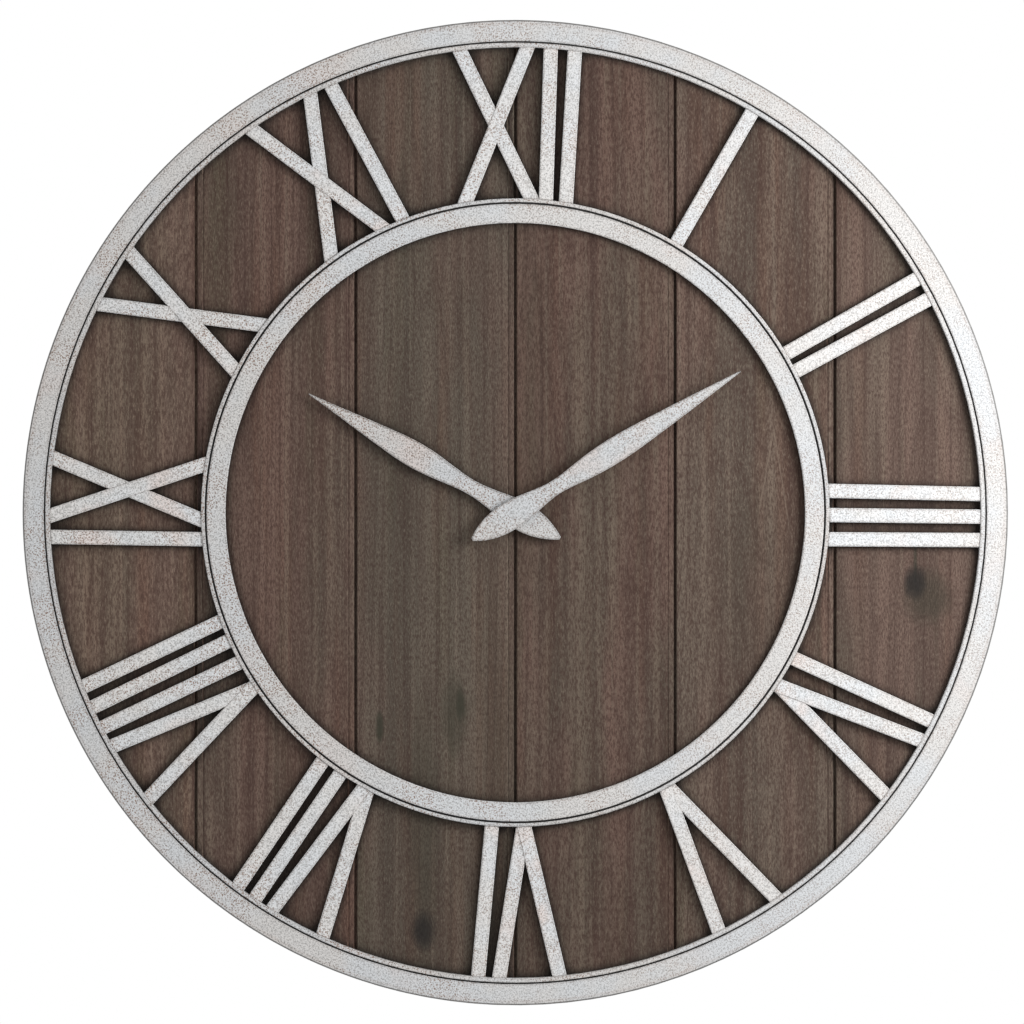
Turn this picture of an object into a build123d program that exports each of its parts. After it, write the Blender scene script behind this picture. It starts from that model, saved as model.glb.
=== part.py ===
"""Farmhouse wall clock: plank dial, iron hoop and numeral cage, two hands, quartz movement.

Millimetres. +Z is up and the dial faces -Y, so +X is to the right of someone reading the clock.
The origin is the seat of the hanging screw, at the top of the keyhole, on the plane of the wall.
Every height named here is measured from the wall plane towards the reader (height h is at y = -h),
and every place on the dial is (x, z) from the axis of the hands.
"""

import os
from math import acos, atan, cos, degrees, hypot, pi, radians, sin, tan

from build123d import *

os.makedirs("parts", exist_ok=True)

# ---------------------------------------------------------------- driving dimensions
CLOCK_RADIUS = 305.0  # a 24 in clock
CLOCK_DEPTH = 40.0  # wall plane to the front of the hoop
HANG_DROP = 154.0  # hanging screw's seat above the axis of the hands

PANEL_BACK = 22.0
PANEL_FRONT = 34.0
BOARD_PITCH = 99.0

SHEET = 2.0  # thickness of the hoop's steel
HOOP_INNER = CLOCK_RADIUS - SHEET
HOOP_FLANGE_INNER = 291.9
FLANGE_BACK = CLOCK_DEPTH - SHEET
PANEL_CLEARANCE = 0.5  # between the boards and the hoop's wall
SEAM_GAP = 0.9  # width of the open groove beside each band of the cage

OUTER_BAND_INNER = 288.3
INNER_BAND_OUTER = 194.5
INNER_BAND_INNER = 192.3
FACE_RING_OUTER = 191.3
FACE_RING_INNER = 179.4
FACE_RING_THICK = 2.5
FACE_RING_BACK = CLOCK_DEPTH - FACE_RING_THICK
BEAD_HIGH = 0.9  # height of the weld bead in each groove

BAR_WIDTH = 8.8
BAR_THICK = 2.6
BAR_RISE = 0.5  # the upper bar of a crossing stands this much above the lower one
BAR_FRONT = 39.2

MOVEMENT_SIDE = 56.0
CASE_BACK = 5.6
CASE_FRONT = 21.0
CASE_WALL = 1.5
COVER_BACK = 4.0

RUNNING = 0.05  # radial clearance of an arbor in its hole


# ---------------------------------------------------------------- planes and shared shapes
def dial(h, x=0.0, z=0.0):
    """The plane parallel to the dial at height h, centred (x, z) from the axis of the hands."""
    return Plane(origin=(x, -h, z - HANG_DROP), x_dir=(1, 0, 0), z_dir=(0, -1, 0))


def turned(h, clock_degrees):
    """The dial plane at height h turned clockwise, so that its Y points to that place on the dial."""
    a = radians(clock_degrees)
    return Plane(
        origin=(0, -h, -HANG_DROP), x_dir=(cos(a), 0, -sin(a)), z_dir=(0, -1, 0)
    )


PROFILE = Plane(origin=(0, 0, -HANG_DROP), x_dir=(1, 0, 0), z_dir=(0, 0, -1))  # radius, height
DIAL_AXIS = Axis((0, 0, -HANG_DROP), (0, -1, 0))


def save(part, name):
    """Labels a finished piece and writes it as its node."""
    part.label = name
    export_step(part, f"parts/{name}.step")


def disc(radius, low, high, x=0.0, z=0.0, bore=0.0):
    """A round of the given radius between two heights, with an optional bore."""
    with BuildPart() as made:
        with BuildSketch(dial(low, x, z)):
            Circle(radius)
            if bore:
                Circle(bore, mode=Mode.SUBTRACT)
        extrude(amount=high - low)
    return made.part


def slab(width, tall, low, high, x=0.0, z=0.0, corner=0.0):
    """A rectangular plate between two heights."""
    with BuildPart() as made:
        with BuildSketch(dial(low, x, z)):
            if corner:
                RectangleRounded(width, tall, corner)
            else:
                Rectangle(width, tall)
        extrude(amount=high - low)
    return made.part


def revolved(points, rounded=(), radius=0.5):
    """A ring about the axis of the hands, from (radius, height) points; some corners are rounded."""
    with BuildPart() as made:
        with BuildSketch(PROFILE) as section:
            with BuildLine():
                Polyline(*points, close=True)
            make_face()
            if rounded:
                at = [Vector(*points[i]) for i in rounded]
                corners = [
                    v for v in section.vertices()
                    if any((Vector(v.X, v.Y) - p).length < 1e-3 for p in at)
                ]
                fillet(corners, radius)
        revolve(axis=DIAL_AXIS)
    return made.part


def polar(radius, clock_degrees):
    """(x, z) of a place given by its radius and its clock angle."""
    return radius * sin(radians(clock_degrees)), radius * cos(radians(clock_degrees))


# ---------------------------------------------------------------- hoop and face rings
def make_outer_hoop():
    """Rolled strip round the boards, and the flat flange welded inside its front edge."""
    wall = [
        (HOOP_INNER, 0.0),
        (CLOCK_RADIUS, 0.0),
        (CLOCK_RADIUS, CLOCK_DEPTH),
        (HOOP_INNER, CLOCK_DEPTH),
    ]
    save(revolved(wall, rounded=(2,), radius=0.8), "outer_hoop")
    flange = [
        (HOOP_FLANGE_INNER, FLANGE_BACK),
        (HOOP_INNER, FLANGE_BACK),
        (HOOP_INNER, CLOCK_DEPTH),
        (HOOP_FLANGE_INNER, CLOCK_DEPTH),
    ]
    save(revolved(flange, rounded=(3,), radius=0.5), "hoop_flange")


def make_outer_band():
    """Strip on edge inside the flange, with the weld bead that joins them below the open groove."""
    outer = HOOP_FLANGE_INNER - SEAM_GAP
    section = [
        (OUTER_BAND_INNER, PANEL_FRONT),
        (outer, PANEL_FRONT),
        (outer, FLANGE_BACK),
        (HOOP_FLANGE_INNER, FLANGE_BACK),
        (HOOP_FLANGE_INNER, FLANGE_BACK + BEAD_HIGH),
        (outer, FLANGE_BACK + BEAD_HIGH),
        (outer, CLOCK_DEPTH),
        (OUTER_BAND_INNER, CLOCK_DEPTH),
    ]
    save(revolved(section, rounded=(6, 7), radius=0.5), "outer_band")


def make_inner_band():
    """Strip on edge round the flat face ring; the numerals end on it."""
    section = [
        (INNER_BAND_INNER, PANEL_FRONT),
        (INNER_BAND_OUTER, PANEL_FRONT),
        (INNER_BAND_OUTER, CLOCK_DEPTH),
        (INNER_BAND_INNER, CLOCK_DEPTH),
        (INNER_BAND_INNER, FACE_RING_BACK + BEAD_HIGH),
        (FACE_RING_OUTER, FACE_RING_BACK + BEAD_HIGH),
        (FACE_RING_OUTER, FACE_RING_BACK),
        (INNER_BAND_INNER, FACE_RING_BACK),
    ]
    save(revolved(section, rounded=(2, 3), radius=0.5), "inner_band")


def make_face_ring():
    """Flat ring between the numerals and the open middle of the dial."""
    section = [
        (FACE_RING_INNER, FACE_RING_BACK),
        (FACE_RING_OUTER, FACE_RING_BACK),
        (FACE_RING_OUTER, CLOCK_DEPTH),
        (FACE_RING_INNER, CLOCK_DEPTH),
    ]
    save(revolved(section, rounded=(2, 3), radius=0.7), "face_ring")


# ---------------------------------------------------------------- numerals
# Each stroke is a flat bar given by how far clockwise of the hour its two ends lie, in mm along
# the inner band and along the outer band. A stroke marked TOP laps over the one that it crosses.
TOP = True
STROKES = {
    1: [(3.0, 3.0)],
    2: [(-1.5, -1.0), (11.0, 13.5)],
    3: [(-13.5, -11.5), (1.5, 2.5), (16.5, 17.0)],
    4: [(-8.0, -17.0), (11.5, -3.5, TOP), (11.0, 37.0)],
    5: [(3.0, -20.5), (4.5, 20.5, TOP)],
    6: [(-5.5, -27.5, TOP), (-5.0, 10.0), (14.5, 23.0)],
    7: [(-6.5, -28.0), (-4.0, 7.5, TOP), (13.0, 20.0), (26.5, 33.0)],
    8: [(-12.5, -40.0, TOP), (-13.0, -0.5), (5.0, 12.5), (20.0, 26.5), (33.0, 40.5)],
    9: [(-16.5, -15.0), (-4.5, 34.0), (30.0, -2.0, TOP)],
    10: [(-10.5, 20.0, TOP), (22.5, -17.0)],
    11: [(-20.0, 19.5), (17.0, -23.0, TOP), (30.5, 33.5)],
    12: [(-31.0, 7.5, TOP), (10.0, -34.5), (19.0, 22.0), (31.5, 37.0)],
}
HOUR_DEGREES = 30.0
BAR_CHAMFER = 0.45
BAR_OVERRUN = 8.0  # length past each band before the ends are trimmed to it


def bar(hour, inner, outer, front):
    """One stroke, before its ends are trimmed: a flat bar with its front edges eased."""
    plane = turned(0, hour * HOUR_DEGREES)

    def end(radius, along):
        return Vector(radius * sin(along / radius), radius * cos(along / radius))

    start, stop = end(INNER_BAND_OUTER, inner), end(OUTER_BAND_INNER, outer)
    way = (stop - start).normalized()
    start -= way * BAR_OVERRUN
    length = (stop - start).length + BAR_OVERRUN
    side = plane.x_dir * way.Y - plane.y_dir * way.X
    base = plane.origin + plane.x_dir * start.X + plane.y_dir * start.Y
    section = Plane(origin=base, x_dir=side, z_dir=plane.x_dir * way.X + plane.y_dir * way.Y)
    half, low = BAR_WIDTH / 2, BAR_FRONT - BAR_THICK
    up = 1.0 if section.y_dir.Y < 0 else -1.0
    with BuildPart() as made:
        with BuildSketch(section):
            with BuildLine():
                Polyline(
                    (-half, up * low),
                    (half, up * low),
                    (half, up * (front - BAR_CHAMFER)),
                    (half - BAR_CHAMFER, up * front),
                    (-half + BAR_CHAMFER, up * front),
                    (-half, up * (front - BAR_CHAMFER)),
                    close=True,
                )
            make_face()
        extrude(amount=length)
    return made.part


def make_numerals():
    """Twelve numerals, each its own node; bars that cross or meet are welded into one solid."""
    window = disc(OUTER_BAND_INNER, PANEL_FRONT, CLOCK_DEPTH + 1, bore=INNER_BAND_OUTER)
    for hour, strokes in STROKES.items():
        bars = [bar(hour, s[0], s[1], BAR_FRONT + BAR_RISE * (len(s) == 3)) for s in strokes]
        with BuildPart() as numeral:
            for one in bars:
                add(one)
            add(window, mode=Mode.INTERSECT)
        save(numeral.part, f"numeral_{hour:02d}")


# ---------------------------------------------------------------- boards
BOARD_COUNT = 6
FRONT_GAP = 1.7  # open joint seen from the front
REAR_GAP = 0.8  # open joint seen from the back
TONGUE_LOW, TONGUE_HIGH, TONGUE_LONG = 26.0, 30.0, 5.0
TONGUE_PLAY = 0.1
QUIRK_OFFSET = 4.5  # from the joint to the fine groove that leaves a bead along it
QUIRK_WIDTH = 1.6
QUIRK_DEEP = 0.5
EASED = 0.5  # slope taken off the front edges of a board

BATTEN_Z = 150.0
BATTEN_TALL = 50.0
BATTEN_LONG = 480.0
BATTEN_BACK = 4.0
SCREW_ROWS = 12.0  # each batten's screws stand this far above or below its middle, in turn
SCREW_XS = (-222.0, -148.5, -49.5, 49.5, 148.5, 222.0)
SCREW_SHANK = 2.0
SCREW_HEAD = 4.2
SCREW_HEAD_DEEP = 2.4
SCREW_TIP = 30.0
HOLE_PLAY = 0.1

STUD_RADIUS = 2.0
STUD_CIRCLE = (FACE_RING_INNER + FACE_RING_OUTER) / 2
STUD_ANGLES = (60.0, 120.0, 240.0, 300.0)  # these stand clear of the battens
STUD_END = 15.5
STUD_WASHER, STUD_WASHER_THICK = 4.5, 1.0
STUD_NUT_HALF_FLATS, STUD_NUT_THICK = 3.5, 3.2

CLIP_ANGLES = tuple(22.5 + 45.0 * i for i in range(8))
CLIP_WIDE = 16.0
CLIP_THICK = 1.5
CLIP_REACH = 20.0
CLIP_TALL = 14.0
CLIP_SCREW_RADIUS = HOOP_INNER - 11.0
CLIP_SCREW_SHANK = 1.6
CLIP_SCREW_TIP = 31.0
CLIP_HEAD, CLIP_HEAD_HIGH = 3.2, 2.0

BUSH_RADIUS = 4.0
BUSH_HOLE = 4.4


def batten_screw_places():
    """(x, z) of every screw through a batten."""
    return [
        (x, z + (SCREW_ROWS if i % 2 else -SCREW_ROWS))
        for z in (BATTEN_Z, -BATTEN_Z)
        for i, x in enumerate(SCREW_XS)
    ]


def board_section(left, right, first, last, quirks):
    """The tongued and grooved section of one board, as (x, height) points."""
    front_left = left if first else left + FRONT_GAP / 2
    rear_left = left if first else left + REAR_GAP / 2
    front_right = right if last else right - FRONT_GAP / 2
    rear_right = right if last else right - REAR_GAP / 2
    points = [(rear_left, PANEL_BACK), (rear_right, PANEL_BACK)]
    if not last:
        tip = right + TONGUE_LONG
        points += [(rear_right, TONGUE_LOW), (tip, TONGUE_LOW), (tip, TONGUE_HIGH)]
        points += [(front_right, TONGUE_HIGH)]
    points += [(front_right, PANEL_FRONT - EASED), (front_right - EASED, PANEL_FRONT)]
    for x in sorted(quirks, reverse=True):
        points += [(x + QUIRK_WIDTH / 2, PANEL_FRONT), (x, PANEL_FRONT - QUIRK_DEEP)]
        points += [(x - QUIRK_WIDTH / 2, PANEL_FRONT)]
    points += [(front_left + EASED, PANEL_FRONT), (front_left, PANEL_FRONT - EASED)]
    if not first:
        deep = left + TONGUE_LONG + TONGUE_PLAY
        points += [(front_left, TONGUE_HIGH + TONGUE_PLAY), (deep, TONGUE_HIGH + TONGUE_PLAY)]
        points += [(deep, TONGUE_LOW - TONGUE_PLAY), (rear_left, TONGUE_LOW - TONGUE_PLAY)]
    return points


def make_boards():
    """Six upright boards cut to one round panel and drilled for everything that fixes to it."""
    radius = HOOP_INNER - PANEL_CLEARANCE
    disc_blank = disc(radius, PANEL_BACK - 1, PANEL_FRONT + 1)
    drills = [disc(BUSH_HOLE, PANEL_BACK - 1, PANEL_FRONT + 1)]
    for x, z in batten_screw_places():
        drills.append(disc(SCREW_SHANK + HOLE_PLAY, PANEL_BACK - 1, SCREW_TIP + 0.5, x, z))
    for angle in STUD_ANGLES:
        x, z = polar(STUD_CIRCLE, angle)
        drills.append(disc(STUD_RADIUS + HOLE_PLAY, PANEL_BACK - 1, PANEL_FRONT + 1, x, z))
    for angle in CLIP_ANGLES:
        x, z = polar(CLIP_SCREW_RADIUS, angle)
        hole = disc(CLIP_SCREW_SHANK + HOLE_PLAY, PANEL_BACK - 1, CLIP_SCREW_TIP + 0.5, x, z)
        drills.append(hole)
    for i in range(BOARD_COUNT):
        first, last = i == 0, i == BOARD_COUNT - 1
        left = -radius if first else BOARD_PITCH * (i - BOARD_COUNT / 2)
        right = radius if last else BOARD_PITCH * (i + 1 - BOARD_COUNT / 2)
        quirks = [] if first or last else [right - QUIRK_OFFSET]
        if i == 1:
            quirks.append(left + QUIRK_OFFSET)
        blank = Plane(origin=(0, 0, -HANG_DROP - radius), z_dir=(0, 0, 1))
        with BuildPart() as board:
            with BuildSketch(blank):
                with BuildLine():
                    section = board_section(left, right, first, last, quirks)
                    Polyline(*[(x, -h) for x, h in section], close=True)
                make_face()
            extrude(amount=2 * radius)
            add(disc_blank, mode=Mode.INTERSECT)
            for drill in drills:
                add(drill, mode=Mode.SUBTRACT)
        save(board.part, f"board_{i + 1}")


# ---------------------------------------------------------------- battens, hanger, fixings
PLATE_WIDE, PLATE_TALL, PLATE_BACK = 76.0, 34.0, 2.0
KEYHOLE_ENTRY = 5.0
KEYHOLE_SLOT = 2.5
KEYHOLE_DROP = 10.0
NOTCH_WIDE = 26.0
NOTCH_TOP = 13.0  # above the hanging seat
HANGER_SCREW_X = 28.0
HANGER_SCREW_TIP = 17.0
HANGER_SHANK, HANGER_HEAD, HANGER_HEAD_DEEP = 1.75, 3.6, 1.9


def countersunk(x, z, low, tip, shank, head, deep, play=0.0):
    """A countersunk screw driven from the back: flat head at low, point at tip."""
    with BuildPart() as made:
        with BuildSketch(Plane(origin=(x, 0, z - HANG_DROP), x_dir=(1, 0, 0), z_dir=(0, 0, -1))):
            with BuildLine():
                Polyline(
                    (0, low),
                    (head + play, low),
                    (shank + play, low + deep),
                    (shank + play, tip - shank),
                    (0, tip + play),
                    close=True,
                )
            make_face()
        revolve(axis=Axis((x, 0, z - HANG_DROP), (0, -1, 0)))
    return made.part


def cross_recess(x, z, low, size):
    """The cross-shaped driver recess of a screw head."""
    with BuildPart() as made:
        with BuildSketch(dial(low - 0.01, x, z)):
            Rectangle(size, size / 4.5)
            Rectangle(size / 4.5, size)
        extrude(amount=size / 3.5)
    return made.part


def make_battens():
    """Two battens across the back; the upper one is notched behind the keyhole."""
    for name, z in (("upper_batten", BATTEN_Z), ("lower_batten", -BATTEN_Z)):
        screws = [
            countersunk(x, sz, BATTEN_BACK, SCREW_TIP, SCREW_SHANK, SCREW_HEAD,
                        SCREW_HEAD_DEEP, HOLE_PLAY)
            for x, sz in batten_screw_places() if sz * z > 0
        ]
        notch_top = HANG_DROP + NOTCH_TOP
        notch_low = BATTEN_Z - BATTEN_TALL / 2
        notch = slab(NOTCH_WIDE, notch_top - notch_low + 2, 0, PANEL_BACK + 1,
                     0, (notch_top + notch_low) / 2 - 1)
        pilots = [
            disc(HANGER_SHANK + HOLE_PLAY, 0, HANGER_SCREW_TIP + 1, x, BATTEN_Z)
            for x in (-HANGER_SCREW_X, HANGER_SCREW_X)
        ]
        with BuildPart() as batten:
            with BuildSketch(dial(BATTEN_BACK, 0, z)):
                Rectangle(BATTEN_LONG, BATTEN_TALL)
            extrude(amount=PANEL_BACK - BATTEN_BACK)
            rear = batten.faces().sort_by(Axis.Y)[-1]
            chamfer(rear.edges(), 1.5)
            for screw in screws:
                add(screw, mode=Mode.SUBTRACT)
            if z > 0:
                add(notch, mode=Mode.SUBTRACT)
                for pilot in pilots:
                    add(pilot, mode=Mode.SUBTRACT)
        save(batten.part, name)


def make_batten_screws():
    """Twelve countersunk wood screws, one through each batten into each board."""
    screws = [
        countersunk(x, z, BATTEN_BACK, SCREW_TIP, SCREW_SHANK, SCREW_HEAD, SCREW_HEAD_DEEP)
        for x, z in batten_screw_places()
    ]
    recesses = [cross_recess(x, z, BATTEN_BACK, 4.6) for x, z in batten_screw_places()]
    with BuildPart() as made:
        for screw in screws:
            add(screw)
        for recess in recesses:
            add(recess, mode=Mode.SUBTRACT)
    save(made.part, "batten_screws")


def make_hanger():
    """Keyhole plate on the upper batten: the screw head goes in below and the shank seats at the top."""
    seat_z = HANG_DROP
    sinks, screws = [
        [
            countersunk(x, BATTEN_Z, PLATE_BACK, HANGER_SCREW_TIP, HANGER_SHANK, HANGER_HEAD,
                        HANGER_HEAD_DEEP, play)
            for x in (-HANGER_SCREW_X, HANGER_SCREW_X)
        ]
        for play in (HOLE_PLAY, 0.0)
    ]
    with BuildPart() as plate:
        with BuildSketch(dial(PLATE_BACK, 0, BATTEN_Z)):
            RectangleRounded(PLATE_WIDE, PLATE_TALL, 4)
        extrude(amount=BATTEN_BACK - PLATE_BACK)
        with BuildSketch(dial(PLATE_BACK - 1, 0, seat_z)):
            Circle(KEYHOLE_SLOT)
            with Locations((0, -KEYHOLE_DROP / 2)):
                Rectangle(2 * KEYHOLE_SLOT, KEYHOLE_DROP)
            with Locations((0, -KEYHOLE_DROP)):
                Circle(KEYHOLE_ENTRY)
        extrude(amount=SHEET + 2, mode=Mode.SUBTRACT)
        for sink in sinks:
            add(sink, mode=Mode.SUBTRACT)
    save(plate.part, "hanger_plate")
    recesses = [
        cross_recess(x, BATTEN_Z, PLATE_BACK, 4.0) for x in (-HANGER_SCREW_X, HANGER_SCREW_X)
    ]
    with BuildPart() as made:
        for screw in screws:
            add(screw)
        for recess in recesses:
            add(recess, mode=Mode.SUBTRACT)
    save(made.part, "hanger_screws")


def make_clips():
    """Bent steel clips inside the hoop hold the panel against the flange side, one screw each."""
    clips, screws, recesses = [], [], []
    for angle in CLIP_ANGLES:
        x, z = polar(CLIP_SCREW_RADIUS, angle)
        with BuildPart() as clip:
            with BuildSketch(turned(PANEL_BACK - CLIP_THICK, angle)):
                with Locations((0, HOOP_INNER - CLIP_REACH / 2)):
                    Rectangle(CLIP_WIDE, CLIP_REACH)
            extrude(amount=CLIP_THICK)
            with BuildSketch(turned(PANEL_BACK - CLIP_TALL, angle)):
                with Locations((0, HOOP_INNER - CLIP_THICK / 2)):
                    Rectangle(CLIP_WIDE, CLIP_THICK)
            extrude(amount=CLIP_TALL)
            add(disc(HOOP_INNER, 0, CLOCK_DEPTH), mode=Mode.INTERSECT)
            add(disc(CLIP_SCREW_SHANK + HOLE_PLAY, 0, CLOCK_DEPTH, x, z), mode=Mode.SUBTRACT)
        clips.append(clip.part)
        head_low = PANEL_BACK - CLIP_THICK - CLIP_HEAD_HIGH
        head = disc(CLIP_HEAD, head_low, PANEL_BACK - CLIP_THICK, x, z)
        shank = disc(CLIP_SCREW_SHANK, head_low, CLIP_SCREW_TIP, x, z)
        with BuildPart() as screw:
            add(head)
            rear = screw.faces().sort_by(Axis.Y)[-1]
            fillet(rear.edges(), 1.2)
            add(shank)
        screws.append(screw.part)
        recesses.append(cross_recess(x, z, head_low, 3.4))
    with BuildPart() as made:
        for clip in clips:
            add(clip)
    save(made.part, "panel_clips")
    with BuildPart() as made:
        for screw in screws:
            add(screw)
        for recess in recesses:
            add(recess, mode=Mode.SUBTRACT)
    save(made.part, "clip_screws")


def make_ring_fixings():
    """Studs welded to the back of the face ring pass through the boards and take nuts behind."""
    washer_back = PANEL_BACK - STUD_WASHER_THICK
    places = [polar(STUD_CIRCLE, angle) for angle in STUD_ANGLES]
    studs = [disc(STUD_RADIUS, STUD_END, FACE_RING_BACK, x, z) for x, z in places]
    washers = [
        disc(STUD_WASHER, washer_back, PANEL_BACK, x, z, bore=STUD_RADIUS + 0.15)
        for x, z in places
    ]
    with BuildPart() as made:
        for stud in studs:
            add(stud)
        chamfer(made.edges().group_by(Axis.Y)[-1], 0.4)
    save(made.part, "ring_studs")
    with BuildPart() as made:
        for washer in washers:
            add(washer)
    save(made.part, "stud_washers")
    with BuildPart() as made:
        for x, z in places:
            with BuildSketch(dial(washer_back - STUD_NUT_THICK, x, z)):
                RegularPolygon(STUD_NUT_HALF_FLATS / cos(pi / 6), 6)
                Circle(STUD_RADIUS, mode=Mode.SUBTRACT)
            extrude(amount=STUD_NUT_THICK)
    save(made.part, "stud_nuts")


# ---------------------------------------------------------------- gears
PRESSURE = radians(25.0)
ADDENDUM = 0.8  # of the module
DEDENDUM = 1.1
BACKLASH = 0.10  # of the module, taken off each tooth at the pitch circle
FLANK_STEPS = 3


def tooth_points(teeth, module, phase):
    """Outline of a whole gear; a tooth is centred at angle phase, in degrees from the plane's X."""
    pitch_r = teeth * module / 2
    base_r = pitch_r * cos(PRESSURE)
    tip_r = pitch_r + ADDENDUM * module
    root_r = pitch_r - DEDENDUM * module

    def half_angle(r):
        at = acos(min(1.0, base_r / max(r, base_r)))
        involute = (tan(PRESSURE) - PRESSURE) - (tan(at) - at)
        return pi / (2 * teeth) - BACKLASH * module / pitch_r + involute

    low = max(base_r, root_r)
    radii = [low + (tip_r - low) * i / FLANK_STEPS for i in range(FLANK_STEPS + 1)]
    if root_r < base_r:
        radii = [root_r] + radii
    points = []
    for i in range(teeth):
        mid = radians(phase) + 2 * pi * i / teeth
        flank = [(r, mid - half_angle(r)) for r in radii]
        flank += [(r, mid + half_angle(r)) for r in reversed(radii)]
        points += [(r * cos(a), r * sin(a)) for r, a in flank]
    return points


def gear(teeth, module, phase, low, high, x=0.0, z=0.0):
    """A spur gear between two heights."""
    with BuildPart() as made:
        with BuildSketch(dial(low, x, z)):
            with BuildLine():
                Polyline(*tooth_points(teeth, module, phase), close=True)
            make_face()
        extrude(amount=high - low)
    return made.part


def meshing_phase(teeth_a, phase_a, teeth_b, bearing):
    """Phase of gear b that meshes with gear a, when b stands at that bearing from a (degrees)."""
    into_a = ((bearing - phase_a) / (360 / teeth_a)) % 1
    return bearing + 180 - (0.5 - into_a) * 360 / teeth_b


def beyond(place, distance, bearing):
    """The place at a distance and bearing from another, the bearing counted from X towards Z."""
    return (
        place[0] + distance * cos(radians(bearing)),
        place[1] + distance * sin(radians(bearing)),
    )


# ---------------------------------------------------------------- movement: wheels
CENTRE = (0.0, 0.0)

# hands' motion work: 12 to 36, then 10 to 40, which is 12 to 1
MOTION_SPACING = 11.0
CANNON_TEETH, MINUTE_WHEEL_TEETH = 12, 36
MINUTE_PINION_TEETH, HOUR_WHEEL_TEETH = 10, 40
SETTING_TEETH = 16
CANNON_MODULE = 2 * MOTION_SPACING / (CANNON_TEETH + MINUTE_WHEEL_TEETH)
HOUR_MODULE = 2 * MOTION_SPACING / (MINUTE_PINION_TEETH + HOUR_WHEEL_TEETH)
MINUTE_WHEEL_BEARING, SETTING_BEARING = 20.0, 50.0
MINUTE_WHEEL_AT = beyond(CENTRE, MOTION_SPACING, MINUTE_WHEEL_BEARING)
SETTING_AT = beyond(
    MINUTE_WHEEL_AT, CANNON_MODULE * (MINUTE_WHEEL_TEETH + SETTING_TEETH) / 2, SETTING_BEARING
)

# going train: rotor 10 to 50, 10 to 60, 10 to 75, 9 to 72, which is 1800 to 1
ROTOR_TEETH, INTERMEDIATE_TEETH, INTERMEDIATE_PINION = 10, 50, 10
SECONDS_TEETH, SECONDS_PINION = 60, 10
THIRD_TEETH, THIRD_PINION = 75, 9
CENTRE_TEETH = 72
FAST_MODULE = 0.3
THIRD_SPACING = 10.35
THIRD_MODULE = 2 * THIRD_SPACING / (SECONDS_PINION + THIRD_TEETH)
CENTRE_MODULE = 2 * THIRD_SPACING / (THIRD_PINION + CENTRE_TEETH)
THIRD_BEARING, INTERMEDIATE_BEARING, ROTOR_BEARING = 150.0, 60.0, 110.0
THIRD_AT = beyond(CENTRE, THIRD_SPACING, THIRD_BEARING)
INTERMEDIATE_AT = beyond(
    CENTRE, FAST_MODULE * (SECONDS_TEETH + INTERMEDIATE_PINION) / 2, INTERMEDIATE_BEARING
)
ROTOR_AT = beyond(
    INTERMEDIATE_AT, FAST_MODULE * (INTERMEDIATE_TEETH + ROTOR_TEETH) / 2, ROTOR_BEARING
)

# arbors and pipes
ARBOR = 0.6
ROTOR_ARBOR = 0.5
SECONDS_ARBOR = 0.75
MINUTE_PIPE = 1.8
HOUR_PIPE = 2.75
MINUTE_ARBOR = 0.7
SETTING_ARBOR = 1.2
SECONDS_ARBOR_END = 30.0
KNOB_RADIUS, KNOB_BACK, KNOB_FRONT = 5.3, 1.6, 3.7
FLUTES, FLUTE_RADIUS = 18, 0.5
LIGHTENING = 4  # round holes in the web of a large wheel
COVER_FRONT = CASE_BACK
PIVOT_DEEP = 0.7
BRIDGE_BACK, BRIDGE_FRONT = 14.2, 15.0
CASE_INSIDE = CASE_FRONT - CASE_WALL

# heights of the wheels, back and front, from the rearmost to the front one
ROTOR_PINION_AT, MAGNET_AT, MAGNET_RADIUS = (6.6, 7.9), (8.2, 10.2), 2.8
INTERMEDIATE_LEVEL, INTERMEDIATE_PINION_FRONT = (6.8, 7.6), 9.6
SECONDS_LEVEL, SECONDS_PINION_FRONT = (8.6, 9.4), 11.6
THIRD_LEVEL, THIRD_PINION_FRONT = (10.6, 11.4), 14.0
CENTRE_LEVEL = (12.8, 13.8)
CANNON_LEVEL = (15.4, 17.0)
MINUTE_WHEEL_LEVEL, MINUTE_PINION_FRONT = (15.6, 16.6), 18.8
SETTING_LEVEL = (15.4, 16.8)
HOUR_WHEEL_LEVEL = (17.4, 18.6)

# hands and what holds them
HOUR_HAND_BACK, HOUR_HAND_THICK = 38.8, 1.2
MINUTE_HAND_BACK, MINUTE_HAND_THICK = 42.6, 1.4
BUSH_END = 37.6
HOUR_PIPE_END = HOUR_HAND_BACK + HOUR_HAND_THICK + 0.3
MINUTE_PIPE_END = MINUTE_HAND_BACK


def pocketed(low, high, x, z, radius):
    """The hole that an arbor of the given radius runs in."""
    return disc(radius + RUNNING, low, high, x, z)


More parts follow.
